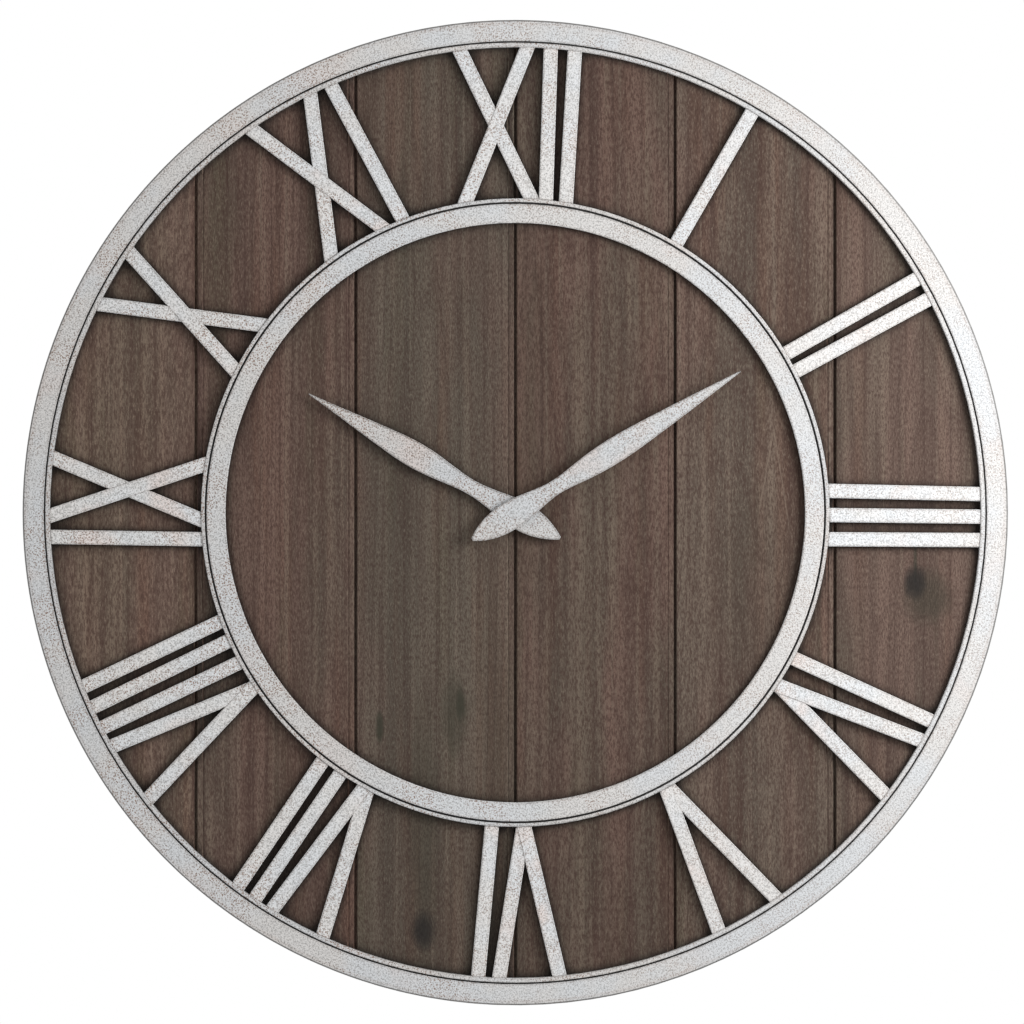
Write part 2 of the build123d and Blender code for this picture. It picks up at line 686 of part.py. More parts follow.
def make_wheels():
    """Every toothed piece, phased so that each pair is in mesh."""
    minute_wheel_phase = meshing_phase(CANNON_TEETH, 0, MINUTE_WHEEL_TEETH, MINUTE_WHEEL_BEARING)
    hour_phase = meshing_phase(
        MINUTE_PINION_TEETH, 0, HOUR_WHEEL_TEETH, MINUTE_WHEEL_BEARING + 180
    )
    setting_phase = meshing_phase(
        MINUTE_WHEEL_TEETH, minute_wheel_phase, SETTING_TEETH, SETTING_BEARING
    )
    third_phase = meshing_phase(SECONDS_PINION, 0, THIRD_TEETH, THIRD_BEARING)
    centre_phase = meshing_phase(THIRD_PINION, 0, CENTRE_TEETH, THIRD_BEARING + 180)
    intermediate_pinion_phase = meshing_phase(
        SECONDS_TEETH, 0, INTERMEDIATE_PINION, INTERMEDIATE_BEARING
    )
    rotor_phase = meshing_phase(INTERMEDIATE_TEETH, 0, ROTOR_TEETH, ROTOR_BEARING)

    cannon = gear(CANNON_TEETH, CANNON_MODULE, 0, *CANNON_LEVEL)
    with BuildPart() as minute_pipe:
        add(disc(MINUTE_PIPE, CENTRE_LEVEL[0] - 0.4, MINUTE_PIPE_END))
        add(cannon)
        add(disc(SECONDS_ARBOR + RUNNING, CENTRE_LEVEL[0] - 1, SECONDS_ARBOR_END + 1),
            mode=Mode.SUBTRACT)
    save(minute_pipe.part, "minute_pipe")

    hour_teeth = gear(HOUR_WHEEL_TEETH, HOUR_MODULE, hour_phase, *HOUR_WHEEL_LEVEL)
    wheel_back, wheel_front = HOUR_WHEEL_LEVEL
    with BuildPart() as hour_wheel:
        add(hour_teeth)
        add(disc(4.6, wheel_front, CASE_INSIDE - 0.2))
        add(disc(HOUR_PIPE, wheel_back, HOUR_PIPE_END))
        add(disc(MINUTE_PIPE + RUNNING, wheel_back - 1, HOUR_PIPE_END + 1), mode=Mode.SUBTRACT)
    save(hour_wheel.part, "hour_wheel")

    x, z = MINUTE_WHEEL_AT
    wheel_back, wheel_front = MINUTE_WHEEL_LEVEL
    wheel = gear(MINUTE_WHEEL_TEETH, CANNON_MODULE, minute_wheel_phase, wheel_back, wheel_front,
                 x, z)
    pinion = gear(MINUTE_PINION_TEETH, HOUR_MODULE, 0, wheel_front, MINUTE_PINION_FRONT, x, z)
    with BuildPart() as minute_wheel:
        add(wheel)
        add(pinion)
        add(disc(MINUTE_ARBOR, BRIDGE_BACK + 0.1, CASE_INSIDE + PIVOT_DEEP, x, z))
    save(minute_wheel.part, "minute_wheel")

    x, z = SETTING_AT
    flutes = [beyond(SETTING_AT, KNOB_RADIUS + 0.2, 360 / FLUTES * i) for i in range(FLUTES)]
    setting_teeth = gear(SETTING_TEETH, CANNON_MODULE, setting_phase, *SETTING_LEVEL, x, z)
    with BuildPart() as setting_knob:
        add(disc(KNOB_RADIUS, KNOB_BACK, KNOB_FRONT, x, z))
        rim = setting_knob.faces().sort_by(Axis.Y)[-1]
        fillet(rim.edges(), 0.5)
        for place in flutes:
            add(disc(FLUTE_RADIUS, KNOB_BACK - 1, KNOB_FRONT + 0.1, *place), mode=Mode.SUBTRACT)
        add(disc(SETTING_ARBOR, KNOB_BACK + 0.5, CASE_INSIDE + PIVOT_DEEP, x, z))
        add(setting_teeth)
    save(setting_knob.part, "setting_knob")

    wheel_back, wheel_front = CENTRE_LEVEL
    centre_teeth = gear(CENTRE_TEETH, CENTRE_MODULE, centre_phase, wheel_back, wheel_front)
    with BuildPart() as centre_wheel:
        add(centre_teeth)
        with BuildSketch(dial(wheel_back)):
            with PolarLocations(5.6, LIGHTENING):
                Circle(1.9)
        extrude(amount=wheel_front - wheel_back, mode=Mode.SUBTRACT)
        add(disc(MINUTE_PIPE + RUNNING, wheel_back - 1, wheel_front + 1), mode=Mode.SUBTRACT)
    save(centre_wheel.part, "centre_wheel")

    x, z = THIRD_AT
    wheel_back, wheel_front = THIRD_LEVEL
    third_teeth = gear(THIRD_TEETH, THIRD_MODULE, third_phase, wheel_back, wheel_front, x, z)
    third_pinion = gear(THIRD_PINION, CENTRE_MODULE, 0, wheel_front, THIRD_PINION_FRONT, x, z)
    with BuildPart() as third_wheel:
        add(third_teeth)
        with BuildSketch(dial(wheel_back, x, z)):
            with PolarLocations(5.2, LIGHTENING):
                Circle(1.8)
        extrude(amount=wheel_front - wheel_back, mode=Mode.SUBTRACT)
        add(third_pinion)
        add(disc(ARBOR, COVER_FRONT - PIVOT_DEEP, BRIDGE_FRONT, x, z))
    save(third_wheel.part, "third_wheel")

    wheel_back, wheel_front = SECONDS_LEVEL
    seconds_teeth = gear(SECONDS_TEETH, FAST_MODULE, 0, wheel_back, wheel_front)
    seconds_pinion = gear(SECONDS_PINION, THIRD_MODULE, 0, wheel_front, SECONDS_PINION_FRONT)
    with BuildPart() as seconds_wheel:
        add(seconds_teeth)
        add(seconds_pinion)
        add(disc(SECONDS_ARBOR, COVER_FRONT - PIVOT_DEEP, SECONDS_ARBOR_END))
    save(seconds_wheel.part, "seconds_wheel")

    x, z = INTERMEDIATE_AT
    wheel_back, wheel_front = INTERMEDIATE_LEVEL
    intermediate_teeth = gear(INTERMEDIATE_TEETH, FAST_MODULE, 0, wheel_back, wheel_front, x, z)
    intermediate_pinion = gear(
        INTERMEDIATE_PINION, FAST_MODULE, intermediate_pinion_phase, wheel_front,
        INTERMEDIATE_PINION_FRONT, x, z,
    )
    with BuildPart() as intermediate_wheel:
        add(intermediate_teeth)
        add(intermediate_pinion)
        add(disc(ARBOR, COVER_FRONT - PIVOT_DEEP, BRIDGE_FRONT, x, z))
    save(intermediate_wheel.part, "intermediate_wheel")

    x, z = ROTOR_AT
    rotor_teeth = gear(ROTOR_TEETH, FAST_MODULE, rotor_phase, *ROTOR_PINION_AT, x, z)
    with BuildPart() as rotor:
        add(rotor_teeth)
        add(disc(MAGNET_RADIUS, *MAGNET_AT, x, z))
        add(disc(ROTOR_ARBOR, COVER_FRONT - PIVOT_DEEP, BRIDGE_FRONT, x, z))
    save(rotor.part, "rotor")


# ---------------------------------------------------------------- movement: fixed pieces
BRIDGE_POSTS = ((-16, -7), (20, -7), (-14, 19))
BRIDGE_POST_RADIUS = 1.3
BAY_LOW, BAY_HIGH = -26.5, -11.2
ROOM_LOW, ROOM_HIGH = -10.0, 26.5
ROOM_WIDE = MOVEMENT_SIDE - 2 * CASE_WALL
BUSH_FLANGE = 6.0


def make_case():
    """Moulded case, open at the back: a room for the works and a bay for the cell."""
    room = slab(ROOM_WIDE, ROOM_HIGH - ROOM_LOW, 0, CASE_INSIDE, 0, (ROOM_HIGH + ROOM_LOW) / 2,
                corner=2)
    bay = slab(ROOM_WIDE, BAY_HIGH - BAY_LOW, 0, CASE_INSIDE, 0, (BAY_HIGH + BAY_LOW) / 2,
               corner=1)
    pivots = [
        pocketed(CASE_INSIDE - 1, CASE_INSIDE + PIVOT_DEEP + 0.1, *MINUTE_WHEEL_AT, MINUTE_ARBOR),
        pocketed(CASE_INSIDE - 1, CASE_INSIDE + PIVOT_DEEP + 0.1, *SETTING_AT, SETTING_ARBOR),
    ]
    with BuildPart() as case:
        with BuildSketch(dial(CASE_BACK)):
            RectangleRounded(MOVEMENT_SIDE, MOVEMENT_SIDE, 5)
        extrude(amount=CASE_FRONT - CASE_BACK)
        front = case.faces().sort_by(Axis.Y)[0]
        fillet(front.edges(), 1.0)
        add(room, mode=Mode.SUBTRACT)
        add(bay, mode=Mode.SUBTRACT)
        add(disc(BUSH_FLANGE, 0, CASE_FRONT + 1), mode=Mode.SUBTRACT)
        for pivot in pivots:
            add(pivot, mode=Mode.SUBTRACT)
    save(case.part, "movement_case")


def make_back_cover():
    """Snap-on cover over the works, with the rear pivots moulded in."""
    pivots = [
        pocketed(COVER_FRONT - PIVOT_DEEP - 0.1, COVER_FRONT + 1, *place, radius)
        for place, radius in (
            (CENTRE, SECONDS_ARBOR),
            (THIRD_AT, ARBOR),
            (INTERMEDIATE_AT, ARBOR),
            (ROTOR_AT, ROTOR_ARBOR),
        )
    ]
    setting_hole = pocketed(0, CASE_BACK + 1, *SETTING_AT, SETTING_ARBOR)
    top = MOVEMENT_SIDE / 2
    with BuildPart() as cover:
        with BuildSketch(dial(COVER_BACK)):
            with Locations((0, (top + BAY_HIGH) / 2)):
                Rectangle(MOVEMENT_SIDE, top - BAY_HIGH)
        extrude(amount=COVER_FRONT - COVER_BACK)
        fillet(cover.edges().filter_by(Axis.Y).group_by(Axis.Z)[-1], 5)
        chamfer(cover.faces().sort_by(Axis.Y)[-1].edges(), 0.5)
        for pivot in pivots:
            add(pivot, mode=Mode.SUBTRACT)
        add(setting_hole, mode=Mode.SUBTRACT)
    save(cover.part, "movement_cover")


def make_bridge():
    """Plate between the two trains, on three posts from the case."""
    arbors = (
        (CENTRE, MINUTE_PIPE),
        (THIRD_AT, ARBOR),
        (INTERMEDIATE_AT, ARBOR),
        (ROTOR_AT, ROTOR_ARBOR),
        (MINUTE_WHEEL_AT, MINUTE_ARBOR),
        (SETTING_AT, SETTING_ARBOR),
    )
    holes = [pocketed(BRIDGE_BACK - 1, BRIDGE_FRONT + 1, *p, r) for p, r in arbors]
    posts = [disc(BRIDGE_POST_RADIUS, BRIDGE_FRONT, CASE_INSIDE, *p) for p in BRIDGE_POSTS]
    with BuildPart() as bridge:
        add(slab(42, 32, BRIDGE_BACK, BRIDGE_FRONT, 2.5, 6.5, corner=2))
        for post in posts:
            add(post)
        for hole in holes:
            add(hole, mode=Mode.SUBTRACT)
    save(bridge.part, "gear_bridge")


STATOR_BACK, STATOR_FRONT = 8.8, 9.6
CORE_Z, CORE_WIDE = 23.2, 2.4
STATOR_EYE, STATOR_RIM = 3.1, 5.2  # radii round the rotor
COIL_START, COIL_LONG, COIL_RADIUS = -17.0, 12.0, 2.7
CHEEK = 0.6  # thickness of the bobbin's two ends
WINDING_RADIUS = 2.4


def make_motor():
    """Stator plate with the rotor's hole and the coil's core, and the coil wound on it."""
    with BuildPart() as stator:
        with BuildSketch(dial(STATOR_BACK)):
            with Locations((-5.5, 20.3)):
                Rectangle(30, 8.2)
            with Locations((-7.5, 20.45)):
                Rectangle(20, 3.1, mode=Mode.SUBTRACT)
            with Locations(ROTOR_AT):
                Circle(STATOR_RIM)
                Circle(STATOR_EYE, mode=Mode.SUBTRACT)
        extrude(amount=STATOR_FRONT - STATOR_BACK)
    save(stator.part, "stator")
    middle = (STATOR_BACK + STATOR_FRONT) / 2
    rounds = (
        (COIL_START, CHEEK, COIL_RADIUS),
        (COIL_START + CHEEK, COIL_LONG - 2 * CHEEK, WINDING_RADIUS),
        (COIL_START + COIL_LONG - CHEEK, CHEEK, COIL_RADIUS),
    )
    with BuildPart() as coil:
        for start, length, radius in rounds:
            with BuildSketch(Plane(origin=(start, -middle, CORE_Z - HANG_DROP), z_dir=(1, 0, 0))):
                Circle(radius)
            extrude(amount=length)
        add(slab(COIL_LONG + 4, CORE_WIDE + 0.02, STATOR_BACK - 0.01, STATOR_FRONT + 0.01,
                 COIL_START + COIL_LONG / 2, CORE_Z), mode=Mode.SUBTRACT)
    save(coil.part, "coil")


CIRCUIT_X, CIRCUIT_BACK, CIRCUIT_FRONT = -23.0, 11.2, 12.0
CHIP_RADIUS, CHIP_HIGH = 1.9, 0.8  # the resin drop over the chip
CRYSTAL_RADIUS, CRYSTAL_LONG = 1.0, 6.0


def make_circuit():
    """Circuit board beside the train, with its crystal can."""
    with BuildPart() as circuit_board:
        add(slab(6, 32, CIRCUIT_BACK, CIRCUIT_FRONT, CIRCUIT_X, 8, corner=0.5))
        add(disc(CHIP_RADIUS, CIRCUIT_FRONT, CIRCUIT_FRONT + CHIP_HIGH, CIRCUIT_X, 16))
        fillet(circuit_board.edges().group_by(Axis.Y)[0], 0.5)
    save(circuit_board.part, "circuit_board")
    with BuildPart() as crystal:
        axis_h = CIRCUIT_FRONT + CRYSTAL_RADIUS
        at = Plane(origin=(CIRCUIT_X, -axis_h, -3 - HANG_DROP), z_dir=(0, 0, 1))
        with BuildSketch(at):
            Circle(CRYSTAL_RADIUS)
        extrude(amount=CRYSTAL_LONG)
        fillet(crystal.edges(), 0.2)
    save(crystal.part, "quartz_crystal")


CELL_X, CELL_Z, CELL_H = 0.2, -19.0, 12.0
CELL_RADIUS = 7.1
CELL_HALF = 24.6
NUB_LONG, NUB_RADIUS = 1.0, 2.6
CONTACT_THICK = 0.4
SPRING_WIRE = 0.28
SPRING_OUTER, SPRING_INNER, SPRING_TURNS = 4.2, 2.0, 2.5
SPRING_REST = 0.3  # between the spring and the cell


def across(x):
    """The plane square to the cell's length at x, centred on the cell."""
    return Plane(origin=(x, -CELL_H, CELL_Z - HANG_DROP), x_dir=(0, 0, 1), z_dir=(1, 0, 0))


def contact_plate(x):
    """The flat of a contact, against the end wall of the bay."""
    return slab(CONTACT_THICK, 9, 7, 18, x, CELL_Z)


def make_cell():
    """AA cell lying across the bay, and the two contacts at its ends."""
    with BuildPart() as cell:
        with BuildSketch(across(CELL_X - CELL_HALF)):
            Circle(CELL_RADIUS)
        extrude(amount=2 * CELL_HALF)
        fillet(cell.edges(), 0.6)
        with BuildSketch(across(CELL_X + CELL_HALF)):
            Circle(NUB_RADIUS)
        extrude(amount=NUB_LONG)
    save(cell.part, "battery")

    plate_x = (ROOM_WIDE - CONTACT_THICK) / 2
    save(contact_plate(plate_x), "positive_contact")

    start = CONTACT_THICK / 2 - plate_x + SPRING_WIRE - 0.05
    height = CELL_X - CELL_HALF - SPRING_REST - SPRING_WIRE - start
    taper = SPRING_OUTER - SPRING_INNER
    plate = contact_plate(-plate_x)
    with BuildPart() as spring:
        with BuildLine() as wire:
            Helix(
                pitch=hypot(taper, height) / SPRING_TURNS,
                height=height,
                radius=SPRING_OUTER,
                center=(start, -CELL_H, CELL_Z - HANG_DROP),
                direction=(1, 0, 0),
                cone_angle=-degrees(atan(taper / height)),
            )
        with BuildSketch(Plane(origin=wire.line @ 0, z_dir=wire.line % 0)):
            Circle(SPRING_WIRE)
        sweep(is_frenet=True)
        add(plate)
    save(spring.part, "negative_contact")


THREAD_PITCH = 0.75
THREAD_DEEP = 0.35
THREAD_START = CASE_FRONT + 1.6
SEAT_RADIUS = 12.0
WASHER_RADIUS, WASHER_THICK = 7.5, 0.8
NUT_HALF_FLATS, NUT_THICK = 6.0, 2.2


def make_bush():
    """Threaded bush moulded into the case, with the seat, washer and nut that clamp the boards."""
    points = [(HOUR_PIPE + RUNNING, CASE_INSIDE), (BUSH_FLANGE, CASE_INSIDE)]
    points += [(BUSH_FLANGE, CASE_FRONT), (BUSH_RADIUS, CASE_FRONT)]
    turns = int((BUSH_END - CASE_FRONT - 2.0) / THREAD_PITCH)
    for i in range(turns):
        low = THREAD_START + i * THREAD_PITCH
        points += [
            (BUSH_RADIUS, low),
            (BUSH_RADIUS - THREAD_DEEP, low + THREAD_PITCH / 2),
        ]
    points += [
        (BUSH_RADIUS, THREAD_START + turns * THREAD_PITCH),
        (BUSH_RADIUS - 0.2, BUSH_END),
        (HOUR_PIPE + RUNNING, BUSH_END),
    ]
    save(revolved(points), "threaded_bush")
    washer_front = PANEL_FRONT + WASHER_THICK
    save(disc(SEAT_RADIUS, CASE_FRONT, PANEL_BACK, bore=BUSH_RADIUS + 0.1), "rubber_seat")
    save(disc(WASHER_RADIUS, PANEL_FRONT, washer_front, bore=BUSH_RADIUS + 0.1), "dial_washer")
    with BuildPart() as nut:
        with BuildSketch(dial(washer_front)):
            RegularPolygon(NUT_HALF_FLATS / cos(pi / 6), 6)
            Circle(BUSH_RADIUS, mode=Mode.SUBTRACT)
        extrude(amount=NUT_THICK)
        chamfer(nut.faces().sort_by(Axis.Y)[0].outer_wire().edges(), 0.3)
    save(nut.part, "dial_nut")


# ---------------------------------------------------------------- hands
# half widths at distances from the pivot, tail to tip
MINUTE_SHAPE = [(-31.5, 0.9), (-24, 5.0), (-14, 7.9), (-3, 8.7), (12, 6.9), (28, 4.6), (48, 6.3),
                (72, 7.75), (100, 6.25), (132, 3.5), (164.5, 0.35)]
HOUR_SHAPE = [(-32.0, 0.9), (-24, 5.0), (-14, 8.0), (-3, 8.9), (12, 6.9), (31, 4.65), (50, 6.3),
              (70, 8.0), (92, 6.6), (118, 3.6), (147.5, 0.35)]
MINUTE_ANGLE = 57.9
HOUR_ANGLE = 299.9
HOUR_COLLET, MINUTE_COLLET = 4.4, 3.3  # outer radii


def hand(shape, angle, back, thick):
    """A flat hand with a leaf-shaped tail, pointing at a clock angle at rest."""
    with BuildPart() as made:
        with BuildSketch(turned(back, angle)):
            with BuildLine():
                right = Spline(*[(w, t) for t, w in shape])
                left = Spline(*[(-w, t) for t, w in shape])
                Line(right @ 0, left @ 0)
                Line(right @ 1, left @ 1)
            make_face()
        extrude(amount=thick)
        front = made.faces().sort_by(Axis.Y)[0]
        chamfer(front.edges(), 0.3)
    return made.part


def make_hands():
    """Both hands and the brass collets that grip the pipes."""
    hour_blade = hand(HOUR_SHAPE, HOUR_ANGLE, HOUR_HAND_BACK, HOUR_HAND_THICK)
    minute_blade = hand(MINUTE_SHAPE, MINUTE_ANGLE, MINUTE_HAND_BACK, MINUTE_HAND_THICK)
    with BuildPart() as hour_hand:
        add(hour_blade)
        add(disc(HOUR_PIPE, HOUR_HAND_BACK - 1, CLOCK_DEPTH + 1), mode=Mode.SUBTRACT)
    save(hour_hand.part, "hour_hand")
    save(minute_blade, "minute_hand")
    hour_collet = disc(HOUR_COLLET, BUSH_END + 0.3, HOUR_HAND_BACK, bore=HOUR_PIPE)
    save(hour_collet, "hour_hand_collet")
    minute_collet = disc(MINUTE_COLLET, HOUR_PIPE_END + 0.4, MINUTE_HAND_BACK, bore=MINUTE_PIPE)
    save(minute_collet, "minute_hand_collet")


def main():
    make_outer_hoop()
    make_outer_band()
    make_inner_band()
    make_face_ring()
    make_numerals()
    make_boards()
    make_battens()
    make_batten_screws()
    make_hanger()
    make_clips()
    make_ring_fixings()
    make_wheels()
    make_case()
    make_back_cover()
    make_bridge()
    make_motor()
    make_circuit()
    make_cell()
    make_bush()
    make_hands()


main()
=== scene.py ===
"""Looks of the wall clock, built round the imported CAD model. Metres, in the CAD's own frame."""

import math

import bpy
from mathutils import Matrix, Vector


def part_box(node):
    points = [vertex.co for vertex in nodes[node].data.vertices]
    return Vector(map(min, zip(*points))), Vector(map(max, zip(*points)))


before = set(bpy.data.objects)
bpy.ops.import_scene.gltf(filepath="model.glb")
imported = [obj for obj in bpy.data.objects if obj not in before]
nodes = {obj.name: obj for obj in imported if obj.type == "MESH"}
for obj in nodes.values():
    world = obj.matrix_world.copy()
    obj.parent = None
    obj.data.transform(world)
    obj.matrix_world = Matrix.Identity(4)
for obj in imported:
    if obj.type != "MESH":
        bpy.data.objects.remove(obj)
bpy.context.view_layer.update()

# The dial's centre: the hoop is round about it, and the axis of the hands stands on x = 0.
HOOP_LOW, HOOP_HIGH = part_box("outer_hoop")
DIAL = (HOOP_LOW + HOOP_HIGH) / 2
RADIUS = (HOOP_HIGH.x - HOOP_LOW.x) / 2
FRONT_Y = HOOP_LOW.y
MM = 0.001


# ---------------------------------------------------------------- node helpers
class Maker:
    """Builds one node material: each call adds a node and returns its main output."""

    def __init__(self, name, roughness=0.6, metallic=0.0):
        self.material = bpy.data.materials.new(name)
        self.material.use_nodes = True
        self.nodes = self.material.node_tree.nodes
        self.links = self.material.node_tree.links
        self.shader = self.nodes["Principled BSDF"]
        self.shader.inputs["Roughness"].default_value = roughness
        self.shader.inputs["Metallic"].default_value = metallic
        self.place = self.add("ShaderNodeTexCoord").outputs["Object"]

    def add(self, kind, **settings):
        node = self.nodes.new(kind)
        for key, value in settings.items():
            setattr(node, key, value)
        return node

    def put(self, socket, value):
        """Feeds a socket from an output, or sets its number or colour."""
        if isinstance(value, bpy.types.NodeSocket):
            self.links.new(value, socket)
        elif isinstance(value, (tuple, list)) and len(value) == 3 and len(socket.default_value) == 4:
            socket.default_value = (*value, 1.0)
        else:
            socket.default_value = value

    def math(self, operation, a, b=0.0, clamp=False):
        node = self.add("ShaderNodeMath", operation=operation, use_clamp=clamp)
        self.put(node.inputs[0], a)
        self.put(node.inputs[1], b)
        return node.outputs[0]

    def moved(self, scale=(1, 1, 1), shift=(0, 0, 0)):
        """The object's coordinates, scaled and shifted."""
        node = self.add("ShaderNodeMapping")
        self.put(node.inputs["Vector"], self.place)
        node.inputs["Scale"].default_value = scale
        node.inputs["Location"].default_value = shift
        return node.outputs[0]

    def noise(self, vector, scale=1.0, detail=3.0, rough=0.5, distortion=0.0):
        node = self.add("ShaderNodeTexNoise")
        self.put(node.inputs["Vector"], vector)
        node.inputs["Scale"].default_value = scale
        node.inputs["Detail"].default_value = detail
        node.inputs["Roughness"].default_value = rough
        node.inputs["Distortion"].default_value = distortion
        return node.outputs["Fac"]

    def cells(self, vector, scale):
        """Distance to the nearest of scattered points."""
        node = self.add("ShaderNodeTexVoronoi", feature="F1")
        self.put(node.inputs["Vector"], vector)
        node.inputs["Scale"].default_value = scale
        return node.outputs["Distance"]

    def fade(self, value, low, high, out_low=0.0, out_high=1.0):
        """Smooth step from out_low to out_high while the value goes from low to high."""
        node = self.add("ShaderNodeMapRange", interpolation_type="SMOOTHSTEP")
        for socket, v in zip(node.inputs, (value, low, high, out_low, out_high)):
            self.put(socket, v)
        return node.outputs[0]

    def mix(self, share, a, b, blend="MIX"):
        """Colour a with a share of colour b in it."""
        node = self.add("ShaderNodeMix", data_type="RGBA", blend_type=blend)
        self.put(node.inputs["Factor"], share)
        self.put(node.inputs[6], a)
        self.put(node.inputs[7], b)
        return node.outputs[2]

    def split(self):
        """The object's x, y and z."""
        node = self.add("ShaderNodeSeparateXYZ")
        self.put(node.inputs[0], self.place)
        return node.outputs

    def from_axis(self):
        """Distance from the axis of the hands."""
        x, _, z = self.split()
        across = self.math("MULTIPLY", x, x)
        up = self.math("SUBTRACT", z, DIAL.z)
        return self.math("SQRT", self.math("ADD", across, self.math("MULTIPLY", up, up)))

    def bump(self, height, distance, strength=1.0, under=None):
        node = self.add("ShaderNodeBump")
        node.inputs["Strength"].default_value = strength
        node.inputs["Distance"].default_value = distance
        self.put(node.inputs["Height"], height)
        if under is not None:
            self.put(node.inputs["Normal"], under)
        return node.outputs[0]

    def finish(self, colour, roughness=None, normal=None):
        self.put(self.shader.inputs["Base Color"], colour)
        if roughness is not None:
            self.put(self.shader.inputs["Roughness"], roughness)
        if normal is not None:
            self.put(self.shader.inputs["Normal"], normal)
        return self.material


# ---------------------------------------------------------------- washed metal
# How many marks of each pattern lie in a metre, from the finest to the broadest.
FINE, GRAIN, PEEN, DENTS, THIN_SPOTS, BLUSHES, PATCHES = 1800, 900, 860, 55, 30, 21, 14

WASH_COOL, WASH_WARM, WASH_BLUSH = (0.60, 0.62, 0.64), (0.625, 0.605, 0.585), (0.65, 0.545, 0.50)
WASH_WHITE, WASH_SPECK = (0.84, 0.84, 0.84), (0.27, 0.265, 0.26)
# The last of these is painted shade: a dark line along the outer edge of the hoop's front face.
RIM_TINT, WORN_EDGE, BRIM_SHADE_DARK = (0.50, 0.44, 0.405), (0.10, 0.090, 0.085), (0.13, 0.125, 0.12)
# Near-black painted shade on the floor and walls of the welded grooves.
GROOVE_BLACK = (0.010, 0.008, 0.007)
DOT_GREY, DOT_BROWN = (0.155, 0.148, 0.142), (0.25, 0.165, 0.125)

RIM_WIDE = 3.2 * MM  # how far in from an edge the thin wash reaches
EDGES_END = RADIUS - 4.0 * MM, RADIUS - 3.0 * MM  # worn edges fade out here, short of the brim
BRIM_START = RADIUS - 1.3 * MM, RADIUS - 0.7 * MM  # the painted shade along the hoop's brim begins between these
BRIM_DEEP = 0.9 * MM  # how far behind the front the brim's painted shade ends
LIGHT_FADE_LEFT, LIGHT_FADE_RIGHT = -0.22, 0.22  # rust dots weaken between these places across the dial: painted light, the right side paler as the side the light falls on

# The two welded grooves of the cage: inside and outside radius, and the depth where they start.
GROOVES = ((290.8 * MM, 292.1 * MM), (191.1 * MM, 192.5 * MM))
GROOVE_START = 0.25 * MM


def washed_metal(name, shift, rust, tint=1.0, blush_share=0.5, ragged=1.0):
    """White wash over peened steel: brown where the wash is thin and on the edges, near-black painted
    shade in the grooves and a dark line of painted shade along the hoop's outer edge.

    shift moves the pattern, rust is the strength of the dots, tint the overall brightness,
    blush_share the pink in it, and ragged how strongly the rims are worn.
    """
    m = Maker(name)
    at = m.moved(shift=shift)
    grain = m.noise(at, GRAIN, 2, 0.6)
    fine = m.noise(at, FINE, 1, 0.5)
    dots = m.fade(m.cells(m.moved(shift=(1, shift[1], 5)), PEEN), 0.50, 0.24)
    rim, corner = near_edge(m)

    base = wash(m, shift, grain, fine, blush_share)
    share = rust_share(m, shift, grain, dots, rim, rust, ragged)
    base = m.mix(m.math("MULTIPLY", rim, 0.30 * ragged), base, RIM_TINT)
    dot = m.mix(m.fade(thin_wash(m, shift), 0.40, 0.60), DOT_GREY, DOT_BROWN)
    colour = m.mix(share, base, dot)
    frayed = m.math("MULTIPLY", corner, m.fade(grain, 0.30, 0.60, 0.65, 1.0))
    inboard = m.fade(m.from_axis(), *EDGES_END, 1.0, 0.0)
    frayed = m.math("MULTIPLY", frayed, inboard)
    colour = m.mix(frayed, colour, WORN_EDGE)
    # painted shade: a dark line along the hoop's outer edge
    colour = m.mix(m.math("MULTIPLY", brim(m), 0.88), colour, BRIM_SHADE_DARK)
    # painted shade: the welded grooves near black, as the shade down in them
    colour = m.mix(groove_painted_shade(m), colour, GROOVE_BLACK)
    colour = m.mix(1.0, colour, (tint, tint, tint), blend="MULTIPLY")

    rough = m.fade(grain, 0.35, 0.65, 0.44, 0.68)
    dents = m.bump(m.noise(at, DENTS, 2, 0.5), 0.6 * MM, 0.30)
    height = m.math("SUBTRACT", fine, m.math("MULTIPLY", dots, 0.6))
    return m.finish(colour, rough, m.bump(height, 0.25 * MM, 0.55, dents))


def wash(m, shift, grain, fine, blush_share):
    """The white wash itself: cool and warm patches, a pink blush and fine light and dark specks."""
    patches = m.noise(m.moved(shift=shift), PATCHES, 4, 0.6)
    blush = m.noise(m.moved(shift=(1, 8, shift[2])), BLUSHES, 3, 0.6)
    base = m.mix(m.fade(patches, 0.40, 0.60), WASH_COOL, WASH_WARM)
    pink = m.math("MULTIPLY", m.fade(blush, 0.54, 0.68), blush_share)
    base = m.mix(pink, base, WASH_BLUSH)
    base = m.mix(m.math("MULTIPLY", m.fade(fine, 0.62, 0.40), 0.40), base, WASH_WHITE)
    return m.mix(m.math("MULTIPLY", m.fade(grain, 0.48, 0.62), 0.50), base, WASH_SPECK)


def rust_share(m, shift, grain, dots, rim, rust, ragged):
    """How much brown shows: in the peen marks where the wash is thin and on rims; fewer dots to the
    right are painted light, the side the light falls on.
    """
    worn = m.math("MULTIPLY", m.fade(thin_wash(m, shift), 0.42, 0.60), 0.9)
    show = m.math("ADD", worn, m.math("MULTIPLY", rim, 0.5 * ragged), clamp=True)
    share = m.math("MULTIPLY", dots, m.fade(show, 0.0, 1.0, rust - 0.08, rust + 0.50))
    # painted light: the dots thin out towards the right, the side the light falls on
    lit_side_fade = m.fade(m.split()[0], LIGHT_FADE_LEFT, LIGHT_FADE_RIGHT, 1.20, 0.60)
    return m.math("MULTIPLY", m.math("MULTIPLY", share, lit_side_fade), m.fade(grain, 0.34, 0.52, 0.4, 1.0))


def thin_wash(m, shift):
    """Noise that is high where the wash is thin."""
    return m.noise(m.moved(shift=(3 + shift[0], 1, 2)), THIN_SPOTS, 4, 0.65)


